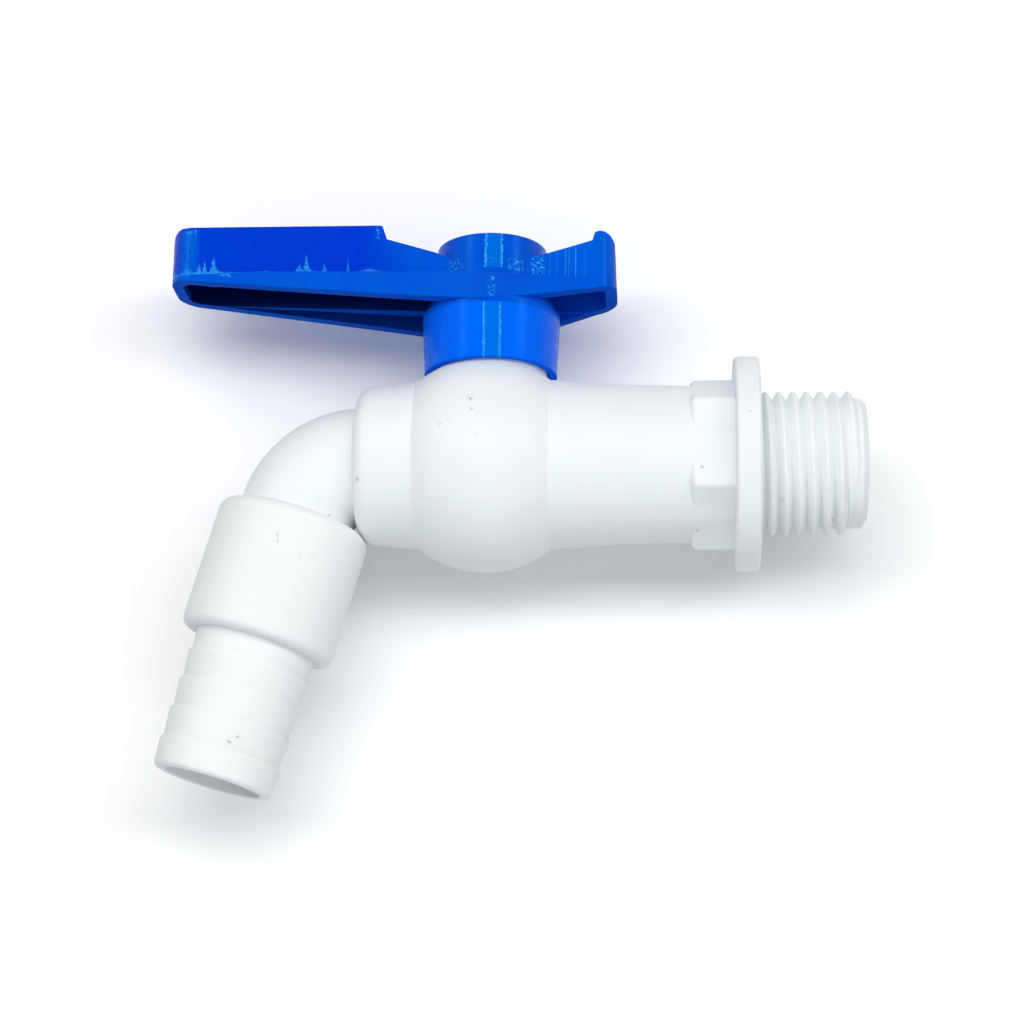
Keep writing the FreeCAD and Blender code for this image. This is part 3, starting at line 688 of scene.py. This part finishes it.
# %% Hang the large lamps
middle = (stem_x, 0, 0)
lamps = [("wide lamp", (0.05, -0.85, 0.18), (2.4, 0.28), 9.3),
         ("upper lamp", (-0.16, -0.62, 0.42), (0.5, 0.4), 1.0),
         ("low lamp", (-0.01, -0.06, -0.16), (0.30, 0.06), 0.05),
         ("rear lamp", (0.1, 0.7, 0.4), (0.6, 0.6), 2.2)]
for name, place, size, watts in lamps:
    softbox(name, place, middle, size, watts).visible_glossy = False
    print(name, watts, "W")


# %% Hang the strips
strip_width = 0.10
strip_height = 0.34
strip_distance = 0.6
strip_watts = 1.2


def strip(name, turn):
    """A tall narrow lamp that only reflections see, at a turn from the camera's side."""
    angle = azimuth + math.radians(turn)
    aim = Vector((stem_x, 0, 27 * mm))
    away = Vector((math.sin(angle) * math.cos(elevation), -math.cos(angle) * math.cos(elevation),
                   -math.sin(elevation)))
    size = (strip_width, strip_height)
    lamp = softbox(name, aim + away * strip_distance, aim, size, strip_watts)
    lamp.visible_diffuse = False


strip("left wide strip", -48)
strip("right wide strip", 52)

# %% [markdown]
# ## The room
# The air around gives a weak cool light. The eye, and what shines or is clear, sees white instead.
# The Light Path node tells the two apart, so that a white background adds no light to the tap.

# %% Tell what the eye sees from what only gives light
def seen_by_eye(tree):
    """1 for the camera's rays and for those that a glossy or clear surface sends on."""
    ray = tree.nodes.new("ShaderNodeLightPath").outputs
    shiny = maths(tree, "MAXIMUM", ray["Is Glossy Ray"], ray["Is Transmission Ray"])
    return maths(tree, "MAXIMUM", ray["Is Camera Ray"], shiny)


# %% Light the room
world = bpy.data.worlds.new("pale room")
bpy.context.scene.world = world
world.use_nodes = True
tree = world.node_tree
air = tree.nodes["Background"]
air.inputs["Color"].default_value = (0.93, 0.98, 1, 1)
air.inputs["Strength"].default_value = 0.13
white = tree.nodes.new("ShaderNodeBackground")
white.inputs["Color"].default_value = (1, 1, 1, 1)
chosen = tree.nodes.new("ShaderNodeMixShader")
tree.links.new(seen_by_eye(tree), chosen.inputs["Fac"])
tree.links.new(air.outputs[0], chosen.inputs[1])
tree.links.new(white.outputs[0], chosen.inputs[2])
tree.links.new(chosen.outputs[0], tree.nodes["World Output"].inputs["Surface"])

# %% [markdown]
# ## The backdrop and the floor
# The tap was laid against a white sheet, which shows its soft shadows. The sheet is white to the
# eye and greyer for the light that it sends back, so that undersides and hollows stay darker than
# the sides. It is clear from behind, so that it doesn't hide the tap in views from there. It
# stands close behind the tap, as the photograph's shadows ask. When the lever is turned to its
# other end, the arm reaches through it, and from the front that part is hidden.

# %% White paper
paper_lift = 0.03


def white_paper(name, returned):
    """Paper that is white to the eye, sends back part of the light, and is clear from behind."""
    paper = bpy.data.materials.new(name)
    paper.use_nodes = True
    tree = paper.node_tree
    tree.nodes.remove(tree.nodes["Principled BSDF"])
    grey = tree.nodes.new("ShaderNodeBsdfDiffuse")
    grey.inputs["Color"].default_value = (*returned, 1)
    bright = tree.nodes.new("ShaderNodeBsdfDiffuse")
    bright.inputs["Color"].default_value = (1, 1, 1, 1)
    glow = tree.nodes.new("ShaderNodeEmission")
    glow.inputs["Strength"].default_value = paper_lift
    lit = tree.nodes.new("ShaderNodeAddShader")
    tree.links.new(bright.outputs[0], lit.inputs[0])
    tree.links.new(glow.outputs[0], lit.inputs[1])
    sheet = tree.nodes.new("ShaderNodeMixShader")
    tree.links.new(seen_by_eye(tree), sheet.inputs["Fac"])
    tree.links.new(grey.outputs[0], sheet.inputs[1])
    tree.links.new(lit.outputs[0], sheet.inputs[2])
    clear = tree.nodes.new("ShaderNodeBsdfTransparent")
    open_side = tree.nodes.new("ShaderNodeMixShader")
    behind = tree.nodes.new("ShaderNodeNewGeometry").outputs["Backfacing"]
    shading = tree.nodes.new("ShaderNodeLightPath").outputs["Is Shadow Ray"]
    tree.links.new(maths(tree, "MAXIMUM", behind, shading), open_side.inputs["Fac"])
    tree.links.new(sheet.outputs[0], open_side.inputs[1])
    tree.links.new(clear.outputs[0], open_side.inputs[2])
    tree.links.new(open_side.outputs[0], tree.nodes["Material Output"].inputs["Surface"])
    return paper


# %% Put up the sheets
sheet_reach = 2
backdrop_y = 16.2 * mm
floor_z = -0.17


def stage_sheet(name, place, turn, paper):
    """A large flat sheet that belongs to the studio."""
    skin = bmesh.new()
    bmesh.ops.create_grid(skin, x_segments=4, y_segments=4, size=sheet_reach)
    bmesh.ops.transform(skin, matrix=Matrix.Translation(place) @ turn, verts=skin.verts)
    mesh = bpy.data.meshes.new(name)
    skin.to_mesh(mesh)
    skin.free()
    mesh.materials.append(paper)
    sheet = bpy.data.objects.new(name, mesh)
    bpy.context.scene.collection.objects.link(sheet)


upright = Matrix.Rotation(math.radians(90), 4, "X")
stage_sheet("backdrop", (0, backdrop_y, 0), upright,
            white_paper("backdrop paper", (0.50, 0.50, 0.51)))
stage_sheet("floor", (0, 0, floor_z), Matrix.Identity(4),
            white_paper("floor paper", (0.57, 0.60, 0.63)))
print("backdrop", round(backdrop_y / mm, 1), "mm behind the stem")
